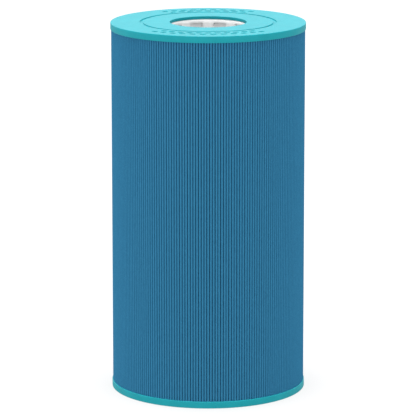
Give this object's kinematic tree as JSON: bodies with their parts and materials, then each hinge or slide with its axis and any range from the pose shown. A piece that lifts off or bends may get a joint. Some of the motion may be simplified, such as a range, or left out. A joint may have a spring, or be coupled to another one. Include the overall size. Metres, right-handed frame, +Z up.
{
  "type": "filter cartridge",
  "caption": "Tall cylindrical pleated filter cartridge with flat ring-shaped end caps and an open windowed core, for a pool or spa filter housing.",
  "frame": {"origin": "centre of the lower end cap's outer face", "axes": "+Z up along the cartridge's axis; -Y is the side with the wider arc of moulded bars, opposite the sheet's seam"},
  "size_m": [0.227, 0.227, 0.433],
  "materials": {
    "cap_polyurethane": "smooth satin cast polyurethane, turquoise",
    "media_polyester": "matt spun-bonded polyester sheet, blue",
    "seam_adhesive": "satin hot-melt bead, blue",
    "core_plastic": "satin moulded plastic, white",
    "liner_scrim": "matt fine white net"
  },
  "bodies": {
    "root": {"top_end_cap": "cap_polyurethane", "bottom_end_cap": "cap_polyurethane", "pleated_media": "media_polyester", "media_seam_bead": "seam_adhesive", "core_liner": "liner_scrim", "core_upper_section": "core_plastic", "core_middle_section": "core_plastic", "core_lower_section": "core_plastic"}
  },
  "joints": []
}
